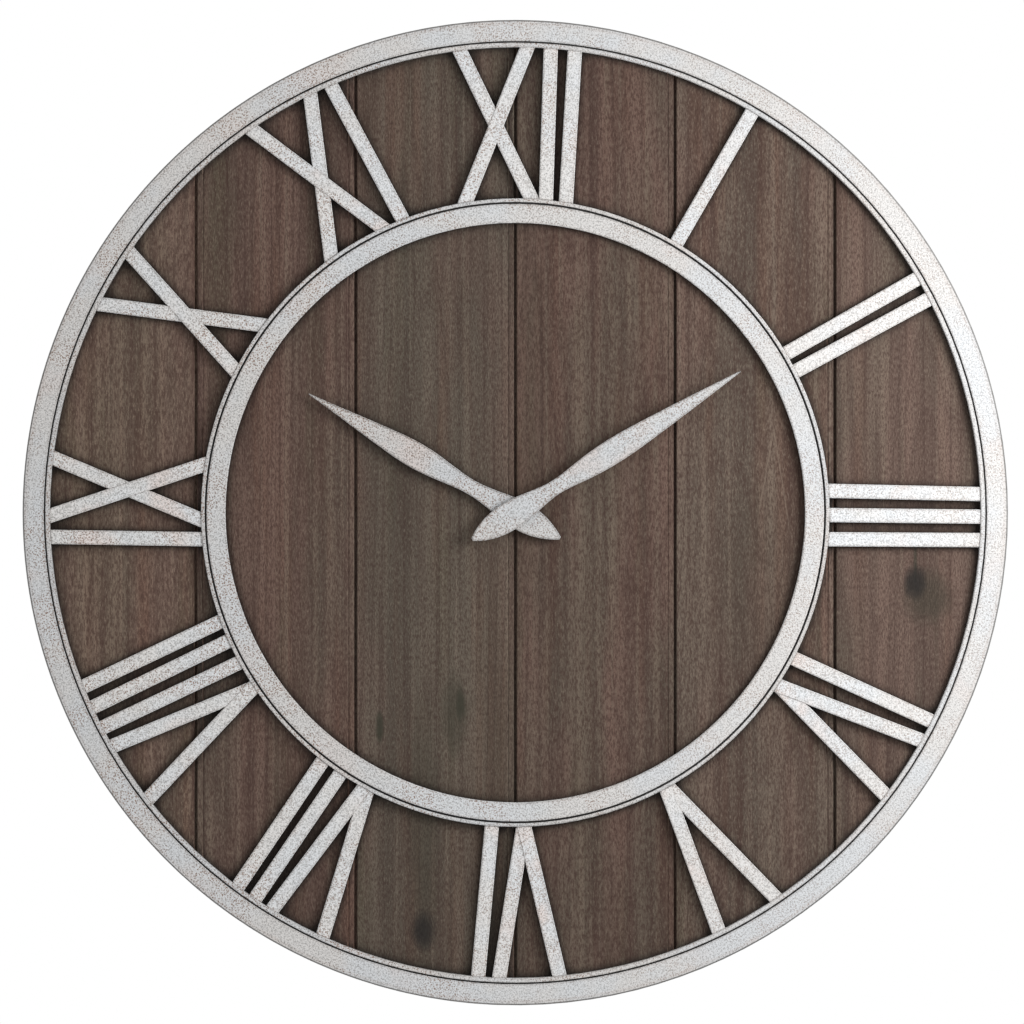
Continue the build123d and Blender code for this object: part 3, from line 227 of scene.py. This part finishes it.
def groove_painted_shade(m):
    """1 on the walls and floor of the two welded grooves, beside the outer and the inner band, where
    near-black painted shade goes.
    """
    away = m.from_axis()
    _, y, _ = m.split()
    deep = m.math("GREATER_THAN", y, FRONT_Y + GROOVE_START)
    dirt = 0.0
    for inside, outside in GROOVES:
        past = m.math("GREATER_THAN", away, inside)
        short = m.math("LESS_THAN", away, outside)
        dirt = m.math("ADD", dirt, m.math("MULTIPLY", past, short))
    return m.math("MULTIPLY", dirt, deep)


def brim(m):
    """1 on the last millimetre of the hoop's front face, where a dark line of painted shade goes."""
    outer = m.fade(m.from_axis(), *BRIM_START)
    front = m.math("LESS_THAN", m.split()[1], FRONT_Y + BRIM_DEEP)
    return m.math("MULTIPLY", outer, front)


def near_edge(m):
    """Masks of a 3 mm rim and of its last millimetre, where a bevelled normal leaves the true one."""
    bevel = m.add("ShaderNodeBevel", samples=8)
    bevel.inputs["Radius"].default_value = RIM_WIDE
    true = m.add("ShaderNodeNewGeometry").outputs["Normal"]
    dot = m.add("ShaderNodeVectorMath", operation="DOT_PRODUCT")
    m.put(dot.inputs[0], bevel.outputs[0])
    m.put(dot.inputs[1], true)
    value = dot.outputs["Value"]
    return m.fade(value, 0.998, 0.90), m.fade(value, 0.86, 0.74)


# ---------------------------------------------------------------- wood
# Marks in a metre along x, y and z: few along z draw a figure out up the board.
FIBRE, STREAK, BROAD = (1300, 1300, 380), (240, 240, 3.0), (85, 85, 2.0)
BAND, MOSS, CLOUD = (55, 55, 3.0), (38, 38, 4.0), (24, 24, 4)
RING_FIELD, RING_WOBBLE, ARCH_WOBBLE = (9.0, 9.0, 0.75), (160, 160, 7), (160, 160, 12)
RINGS = 46.0  # growth rings met by one unit of the ring field
KNOT_STRETCH = 1.6  # a knot's height over its width

# The olive tints the boards' real stains; the black is painted shade laid beside the metal.
METAL_SHADE_BLACK, STAIN_OLIVE = (0.006, 0.005, 0.004), (0.034, 0.031, 0.021)
KNOT_BLACK = (0.014, 0.012, 0.011)
SHADE_WIDE, SHADE_NARROW = 12 * MM, 7 * MM  # reach of the painted shade beside metal
SHADE_LEFT, SHADE_RIGHT = -0.16, 0.08  # the painted shade narrows between these places across the dial
FACE_DEEP = 0.2 * MM  # how far behind a board's face that painted shade ends

# From left to right: two tones and the brightness, then what only some boards have, in millimetres
# from the axis of the hands. A knot is x, z, size; a stain x, z, half width, half height, depth;
# an arch the x, z of its peak, half width, height.
BOARDS = [
    dict(grey=(0.125, 0.092, 0.068), warm=(0.140, 0.090, 0.070), lift=1.07),
    dict(grey=(0.098, 0.073, 0.055), warm=(0.118, 0.074, 0.058), lift=1.05),
    dict(grey=(0.088, 0.071, 0.054), warm=(0.104, 0.071, 0.055), lift=1.07,
         knots=[(-57, -259, 8)],
         stains=[(-57, -190, 9, 80, 0.45), (-38, -124, 8, 26, 0.60), (-34, -119, 3.2, 10, 0.95),
                 (-84, -133, 2.8, 10, 1.0), (-12, -170, 16, 120, 0.25)]),
    dict(grey=(0.088, 0.067, 0.050), warm=(0.110, 0.068, 0.053), lift=1.0,
         stains=[(8, 60, 14, 160, 0.22)]),
    dict(grey=(0.095, 0.072, 0.055), warm=(0.112, 0.072, 0.056), lift=1.08,
         stains=[(150, -45, 30, 60, 0.2)], arches=[(160, 73, 10, 58)]),
    dict(grey=(0.108, 0.082, 0.062), warm=(0.122, 0.080, 0.063), lift=0.94,
         knots=[(248, -43, 7)], stains=[(255, -52, 15, 17, 0.60), (248, -30, 1.2, 16, 0.7)]),
]


def dial_place(x_mm, z_mm):
    """A place on the dial, in metres, from millimetres right of and above the axis of the hands."""
    return x_mm * MM, DIAL.z + z_mm * MM


def weathered_board(name, index, grey, warm, lift, knots=(), stains=(), arches=()):
    """Upright grain whose growth rings close round the knots; grey and warm are the two tones."""
    m = Maker(name)
    m.shader.inputs["Specular IOR Level"].default_value = 0.22
    own = (index * 7.3, index * 1.7, index * 3.1)  # this board's own stretch of the noise
    late, heart = growth_rings(m, own, knots)
    fibre = m.noise(m.moved(FIBRE, own), 1, 3, 0.7)
    pale = tuple(c * 1.7 for c in grey)

    colour = board_grain(m, own, grey, warm, pale, late, fibre)
    for x, z, wide, tall in arches:
        colour = m.mix(arch_lines(m, *dial_place(x, z), wide * MM, tall * MM), colour, pale)
    for x, z, wide, tall, depth in stains:
        away = oval_distance(m, *dial_place(x, z), wide * MM, tall * MM, 1.1)
        colour = m.mix(m.fade(away, 1.6, 0.0, 0.0, depth), colour, STAIN_OLIVE)
    if knots:
        colour = m.mix(m.math("MULTIPLY", heart, 0.88), colour, KNOT_BLACK)
    # painted shade: the boards darkened where the metal lying on them shuts out light
    colour = m.mix(painted_shade_beside_metal(m, name), colour, METAL_SHADE_BLACK)
    gain = m.add("ShaderNodeHueSaturation")
    gain.inputs["Value"].default_value = lift
    m.put(gain.inputs["Color"], colour)

    grooves = m.math("ADD", m.math("MULTIPLY", late, -0.5), m.math("MULTIPLY", fibre, -0.8))
    rough = m.fade(fibre, 0.3, 0.7, 0.66, 0.88)
    return m.finish(gain.outputs[0], rough, m.bump(grooves, 0.22 * MM, 0.6))


def board_grain(m, own, grey, warm, pale, late, fibre):
    """A board's tones with its late wood, its streaks and its fibres, dark and pale."""
    dark = (warm[0] * 0.42, warm[1] * 0.36, warm[2] * 0.36)
    colour = board_tones(m, own, grey, warm)
    colour = m.mix(m.math("MULTIPLY", late, 0.32), colour, dark)
    streak = m.noise(m.moved(STREAK, own), 1, 4, 0.6)
    colour = m.mix(m.math("MULTIPLY", m.fade(streak, 0.54, 0.68), 0.48), colour, pale)
    colour = m.mix(m.math("MULTIPLY", m.fade(streak, 0.46, 0.33), 0.58), colour, dark)
    colour = m.mix(m.math("MULTIPLY", m.fade(fibre, 0.45, 0.62), 0.74), colour, dark)
    return m.mix(m.math("MULTIPLY", m.fade(fibre, 0.45, 0.31), 0.62), colour, pale)


def growth_rings(m, own, knots):
    """Dark late wood of the growth rings, and the hearts of the knots they bend round."""
    field = m.noise(m.moved(RING_FIELD, own), 1, 2, 0.45, 0.25)
    heart, ripples = 0.0, 0.0
    for x, z, size in knots:
        away = oval_distance(m, *dial_place(x, z), size * MM, size * MM * KNOT_STRETCH, 0.9)
        swell = m.math("POWER", math.e, m.math("MULTIPLY", away, -0.35))
        field = m.math("ADD", field, m.math("MULTIPLY", swell, 0.20))
        heart = m.math("MAXIMUM", heart, m.fade(away, 1.5, 0.0))
        round_it = m.math("FRACT", m.math("MULTIPLY", m.math("SQRT", away), 1.9))
        line = m.math("MULTIPLY", m.fade(round_it, 0.45, 0.9), m.fade(away, 9.0, 1.5))
        ripples = m.math("MAXIMUM", ripples, line)
    wobble = m.noise(m.moved(RING_WOBBLE, own), 1, 3, 0.6)
    rings = m.math("ADD", m.math("MULTIPLY", field, RINGS), m.math("MULTIPLY", wobble, 0.8))
    wave = m.math("FRACT", rings)
    late = m.math("MULTIPLY", m.fade(wave, 0.55, 0.93), m.fade(wave, 1.0, 0.95))
    return m.math("MAXIMUM", late, m.math("MULTIPLY", ripples, 0.9)), heart


def board_tones(m, own, grey, warm):
    """Grey and warm clouds with upright reddish, olive and darker bands through them."""
    cloud = m.noise(m.moved(CLOUD, own), 1, 3, 0.5)
    band = m.noise(m.moved(BAND, own), 1, 4, 0.6)
    moss = m.noise(m.moved(MOSS, (own[1], own[2], own[0])), 1, 4, 0.6)
    broad = m.noise(m.moved(BROAD, (own[2], own[0], own[1])), 1, 3, 0.6)
    red = (warm[0] * 0.80, warm[1] * 0.67, warm[2] * 0.60)
    olive = (grey[0] * 0.74, grey[1] * 0.76, grey[2] * 0.68)
    colour = m.mix(m.fade(cloud, 0.40, 0.60), grey, warm)
    colour = m.mix(m.math("MULTIPLY", m.fade(band, 0.48, 0.70), 0.68), colour, red)
    colour = m.mix(m.math("MULTIPLY", m.fade(moss, 0.52, 0.72), 0.8), colour, olive)
    return m.mix(1.0, colour, m.fade(broad, 0.36, 0.64, 0.80, 1.18), blend="MULTIPLY")


def arch_lines(m, x0, top, wide, tall):
    """Thin pale lines of a cathedral figure: nested arches under a peak, fading out downwards."""
    x, _, z = m.split()
    across = m.math("DIVIDE", m.math("SUBTRACT", x, x0), wide)
    down = m.math("DIVIDE", m.math("SUBTRACT", top, z), tall)
    wobble = m.noise(m.moved(ARCH_WOBBLE), 1, 2, 0.5)
    level = m.math("SUBTRACT", down, m.math("ABSOLUTE", across))
    level = m.math("ADD", level, m.math("MULTIPLY", wobble, 0.35))
    wave = m.math("FRACT", m.math("MULTIPLY", level, 1.6))
    line = m.math("MULTIPLY", m.fade(wave, 0.74, 0.90), m.fade(wave, 1.0, 0.92))
    inside = m.math("MULTIPLY", m.fade(level, 0.0, 0.25), m.fade(level, 1.25, 0.85))
    near = m.math("MULTIPLY", m.fade(m.math("ABSOLUTE", across), 1.5, 0.9), m.fade(down, 1.7, 1.1))
    return m.math("MULTIPLY", m.math("MULTIPLY", line, inside), m.math("MULTIPLY", near, 0.5))


def oval_distance(m, cx, cz, wide, tall, ragged):
    """Squared distance from a point in units of an upright oval's half axes, made uneven by noise."""
    x, _, z = m.split()
    dx = m.math("DIVIDE", m.math("SUBTRACT", x, cx), wide)
    dz = m.math("DIVIDE", m.math("SUBTRACT", z, cz), tall)
    away = m.math("ADD", m.math("MULTIPLY", dx, dx), m.math("MULTIPLY", dz, dz))
    rough = m.math("SUBTRACT", m.noise(m.moved((1, 1, 0.4)), 150, 3, 0.6), 0.5)
    return m.math("ADD", away, m.math("MULTIPLY", rough, ragged))


def painted_shade_beside_metal(m, board):
    """Painted shade on a board's face beside whatever lies on it, from ambient occlusion, wider on
    the dial's left side.
    """
    near = m.add("ShaderNodeAmbientOcclusion", samples=8)
    x, y, _ = m.split()
    m.put(near.inputs["Distance"], m.fade(x, SHADE_LEFT, SHADE_RIGHT, SHADE_WIDE, SHADE_NARROW))
    low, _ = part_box(board)
    face = m.math("LESS_THAN", y, low.y + FACE_DEEP)
    return m.math("MULTIPLY", m.fade(near.outputs["AO"], 0.93, 0.40, 0.0, 0.92), face)


PINE_EARLY, PINE_LATE, PINE_PALE = (0.50, 0.335, 0.175), (0.30, 0.165, 0.075), (0.60, 0.45, 0.27)
PINE_FIELD, PINE_FIBRE, PINE_RINGS = (0.8, 14, 14), (24, 1100, 1100), 30
PINE_DUST, SAW_PITCH = (0.25, 0.20, 0.15), 2.4 * MM


def sawn_pine(name):
    """Pale batten with its grain along X and the saw's marks across it."""
    m = Maker(name)
    x = m.split()[0]
    field = m.noise(m.moved(PINE_FIELD), 1, 2, 0.5, 0.3)
    wave = m.math("FRACT", m.math("MULTIPLY", field, PINE_RINGS))
    late = m.math("MULTIPLY", m.fade(wave, 0.45, 0.9), m.fade(wave, 1.0, 0.93))
    fibre = m.noise(m.moved(PINE_FIBRE), 1, 3, 0.6)
    colour = m.mix(late, PINE_EARLY, PINE_LATE)
    colour = m.mix(m.math("MULTIPLY", m.fade(fibre, 0.45, 0.7), 0.35), colour, PINE_PALE)
    dust = m.fade(m.noise(m.moved(shift=(4, 4, 4)), 18, 4, 0.6), 0.5, 0.75)
    colour = m.mix(m.math("MULTIPLY", dust, 0.3), colour, PINE_DUST)
    saw = m.math("SINE", m.math("MULTIPLY", x, 2 * math.pi / SAW_PITCH))
    height = m.math("ADD", m.math("MULTIPLY", saw, 0.25), fibre)
    return m.finish(colour, m.fade(fibre, 0.3, 0.7, 0.62, 0.8), m.bump(height, 0.2 * MM, 0.5))


# ---------------------------------------------------------------- fittings and movement
def plated(name, tint, dull, scale=300, roughness=(0.26, 0.46)):
    """Bright plated metal with a faint mottle and handling marks."""
    m = Maker(name, metallic=1.0)
    mottle = m.noise(m.place, scale, 3, 0.6)
    smears = m.noise(m.moved(shift=(2, 2, 2)), 90, 3, 0.6)
    colour = m.mix(m.fade(mottle, 0.35, 0.65), tint, dull)
    colour = m.mix(m.math("MULTIPLY", m.fade(smears, 0.55, 0.75), 0.35), colour, dull)
    rough = m.fade(smears, 0.3, 0.7, *roughness)
    return m.finish(colour, rough, m.bump(mottle, 0.03 * MM, 0.4))


def moulded(name, tone, roughness=(0.38, 0.55), grain=1800):
    """Moulded plastic with a spark-eroded grain and a little dust."""
    m = Maker(name)
    spark = m.noise(m.place, grain, 2, 0.6)
    broad = m.noise(m.moved(shift=(7, 7, 7)), 60, 3, 0.5)
    pale = tuple(min(1.0, c * 1.5 + 0.02) for c in tone)
    colour = m.mix(m.math("MULTIPLY", m.fade(broad, 0.45, 0.7), 0.5), tone, pale)
    colour = m.mix(m.math("MULTIPLY", m.fade(spark, 0.5, 0.7), 0.25), colour, pale)
    return m.finish(colour, m.fade(broad, 0.3, 0.7, *roughness), m.bump(spark, 0.05 * MM, 0.6))


# The cell: two tones of each band, where the silver band starts, and its bare end and nub.
SLEEVE_TEAL = (0.030, 0.075, 0.085), (0.038, 0.090, 0.100)
SLEEVE_SILVER = (0.62, 0.63, 0.62), (0.55, 0.56, 0.56)
SILVER_START, CELL_END, CELL_NUB = 0.72, 0.7 * MM, 1.3 * MM
CELL_STEEL = (0.60, 0.59, 0.56)


def sleeve(name):
    """Printed sleeve of the cell: plain bands along its length and bare steel ends."""
    m = Maker(name)
    low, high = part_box("battery")
    x = m.split()[0]
    along = m.fade(x, low.x, high.x)
    mottle = m.noise(m.place, 700, 2)
    body = m.mix(m.fade(mottle, 0.4, 0.6), *SLEEVE_TEAL)
    band = m.mix(m.fade(mottle, 0.4, 0.6), *SLEEVE_SILVER)
    edge = m.math("GREATER_THAN", x, low.x + (high.x - low.x) * SILVER_START)
    colour = m.mix(edge, body, band)
    ends = m.math("LESS_THAN", x, low.x + CELL_END)
    nub = m.math("GREATER_THAN", x, high.x - CELL_NUB)
    bare = m.math("MAXIMUM", ends, nub)
    colour = m.mix(bare, colour, CELL_STEEL)
    m.put(m.shader.inputs["Metallic"], bare)
    return m.finish(colour, m.fade(along, 0, 1, 0.28, 0.34), m.bump(mottle, 0.02 * MM, 0.3))


WIRE_PITCH = 0.25 * MM
COPPER_SHADE, COPPER, COPPER_PALE = (0.16, 0.045, 0.015), (0.62, 0.23, 0.09), (0.70, 0.36, 0.16)


def wound_copper(name):
    """Turns of fine enamelled wire round the coil's length, with painted shade between the turns."""
    m = Maker(name, metallic=0.9)
    x = m.split()[0]
    turns = m.math("SINE", m.math("MULTIPLY", x, 2 * math.pi / WIRE_PITCH))
    shade = m.noise(m.place, 400, 2)
    # painted shade in the hollows between the turns
    colour = m.mix(m.fade(turns, -1, 0.6), COPPER_SHADE, COPPER)
    colour = m.mix(m.math("MULTIPLY", shade, 0.3), colour, COPPER_PALE)
    return m.finish(colour, m.fade(shade, 0.3, 0.7, 0.25, 0.4), m.bump(turns, 0.05 * MM, 0.6))


# ---------------------------------------------------------------- who wears what
def dress(material, *names):
    """Gives a material to CAD nodes."""
    for name in names:
        for slot in nodes[name].material_slots:
            slot.material = material


def dress_metal():
    """The hoop, the cage, the face ring and the hands, each with a wash of its own."""
    metal = washed_metal("washed_metal", (0, 0, 0), 0.55, 0.90, 0.3, 1.25)
    hoop_metal = washed_metal("washed_hoop", (5, 2, 9), 0.42, 0.91, 0.35)
    numeral_metal = washed_metal("washed_numerals", (2, 7, 4), 0.48, 1.00, 0.8)
    hand_metal = washed_metal("washed_hands", (8, 3, 6), 0.60, 0.82, 0.7, 1.4)
    dress(metal, "outer_band", "inner_band", "face_ring")
    dress(hand_metal, "hour_hand", "minute_hand")
    dress(numeral_metal, *[f"numeral_{i:02d}" for i in range(1, 13)])
    dress(hoop_metal, "outer_hoop", "hoop_flange")


def dress_boards():
    """Each board has its own tones, and some have knots, stains or arches."""
    for number, looks in enumerate(BOARDS, start=1):
        name = f"board_{number}"
        dress(weathered_board(name, number, **looks), name)


def dress_fixings():
    """Battens, zinc fixings and contacts, and the brass and rubber round the hands' pipes."""
    dress(sawn_pine("sawn_pine"), "upper_batten", "lower_batten")
    zinc = plated("zinc", (0.62, 0.63, 0.64), (0.42, 0.42, 0.41))
    dress(zinc, "batten_screws", "hanger_screws", "hanger_plate", "panel_clips", "clip_screws",
          "ring_studs", "stud_washers", "stud_nuts", "positive_contact", "negative_contact")
    dress(plated("brass", (0.80, 0.58, 0.25), (0.55, 0.37, 0.15), 500),
          "minute_pipe", "threaded_bush", "dial_washer", "dial_nut", "hour_hand_collet",
          "minute_hand_collet")
    dress(moulded("black_rubber", (0.018, 0.018, 0.018), (0.7, 0.85), 1200), "rubber_seat")


def dress_movement():
    """Case, train, motor, circuit and cell."""
    dress(moulded("black_plastic", (0.022, 0.022, 0.024)),
          "movement_case", "movement_cover", "setting_knob")
    dress(moulded("gear_plastic", (0.70, 0.68, 0.61), (0.4, 0.5), 900),
          "gear_bridge", "minute_wheel", "centre_wheel", "third_wheel", "seconds_wheel",
          "intermediate_wheel", "hour_wheel")
    dress(wound_copper("wound_copper"), "coil")
    dress(plated("silicon_steel", (0.40, 0.41, 0.43), (0.27, 0.27, 0.28), 500, (0.35, 0.5)),
          "stator", "rotor")
    dress(moulded("board_green", (0.02, 0.13, 0.05), (0.3, 0.4), 600), "circuit_board")
    dress(plated("crystal_can", (0.75, 0.75, 0.72), (0.6, 0.6, 0.58), 700, (0.12, 0.22)),
          "quartz_crystal")
    dress(sleeve("cell_sleeve"), "battery")


# ---------------------------------------------------------------- smooth shading of turned parts
SHARP_ANGLE = 28  # degrees: edges turned by more stay sharp


def smooth_round_parts():
    """Shades the curved faces of the CAD nodes smoothly and keeps their sharp edges."""
    for node in nodes.values():
        if node.data.polygons:
            node.data.shade_smooth()
            node.data.set_sharp_from_angle(angle=math.radians(SHARP_ANGLE))


# ---------------------------------------------------------------- stage
CAMERA_AWAY = 4.0
HALF_FRAME = 1.039  # half the frame's width over the hoop's radius
SHIFT_X, SHIFT_Y = -0.0032, 0.0006  # of the frame's width: the clock hangs a little off its middle
SENSOR = 36.0
FLOOR_SIZE, FLOOR_DROP = 10, 0.45  # the drop is from the foot of the hoop
KEY_PLACE, KEY_SIZE, KEY_POWER = (0.62, -0.52, 0.02), 0.35, 5.0
SKY_FRONT, SKY_BACK = 0.72, 1.0  # strength of the studio before and behind the clock
SKY_TURNS = -0.3, 0.7  # it changes between these values of the direction's y


def make_floor():
    """Pale floor, low enough to stay out of the straight-on view."""
    bpy.ops.mesh.primitive_plane_add(size=FLOOR_SIZE, location=(0, 0, HOOP_LOW.z - FLOOR_DROP))
    floor = bpy.context.object
    floor.name = "floor"
    m = Maker("floor", roughness=0.9)
    tone = m.mix(m.noise(m.place, 3, 2), (0.86, 0.86, 0.86), (0.88, 0.88, 0.88))
    floor.data.materials.append(m.finish(tone))


def make_light(name, place, size, power):
    """A square area light aimed at the dial's centre."""
    data = bpy.data.lights.new(name, "AREA")
    data.shape = "SQUARE"
    data.size = size
    data.energy = power
    light = bpy.data.objects.new(name, data)
    light.location = Vector(place)
    aim = Vector((0, FRONT_Y, DIAL.z)) - light.location
    light.rotation_euler = aim.to_track_quat("-Z", "Y").to_euler()
    light.visible_camera = False
    bpy.context.scene.collection.objects.link(light)


def make_studio():
    """A white studio, brighter behind the clock than in front of it, and a soft key light."""
    world = bpy.data.worlds.new("studio")
    bpy.context.scene.world = world
    world.use_nodes = True
    tree = world.node_tree
    sky = tree.nodes["Background"]
    sky.inputs["Color"].default_value = (1.0, 1.0, 1.0, 1)
    towards = tree.nodes.new("ShaderNodeTexCoord")
    split = tree.nodes.new("ShaderNodeSeparateXYZ")
    level = tree.nodes.new("ShaderNodeMapRange")
    level.interpolation_type = "SMOOTHSTEP"
    for socket, value in zip(level.inputs[1:5], (*SKY_TURNS, SKY_FRONT, SKY_BACK)):
        socket.default_value = value
    tree.links.new(towards.outputs["Generated"], split.inputs[0])
    tree.links.new(split.outputs["Y"], level.inputs[0])
    tree.links.new(level.outputs[0], sky.inputs["Strength"])
    bpy.context.scene.view_settings.view_transform = "Standard"
    make_light("key", KEY_PLACE, KEY_SIZE, KEY_POWER)


def make_camera():
    """Straight in front of the dial, with the hoop nearly filling the frame."""
    data = bpy.data.cameras.new("camera")
    camera = bpy.data.objects.new("camera", data)
    bpy.context.scene.collection.objects.link(camera)
    camera.location = (0, FRONT_Y - CAMERA_AWAY, DIAL.z)
    camera.rotation_euler = (math.radians(90), 0, 0)
    data.sensor_width = SENSOR
    data.lens = SENSOR / 2 * CAMERA_AWAY / (RADIUS * HALF_FRAME)
    data.shift_x, data.shift_y = SHIFT_X, SHIFT_Y
    data.clip_start, data.clip_end = 0.1, 100
    bpy.context.scene.camera = camera


dress_metal()
dress_boards()
dress_fixings()
dress_movement()
smooth_round_parts()
make_floor()
make_studio()
make_camera()
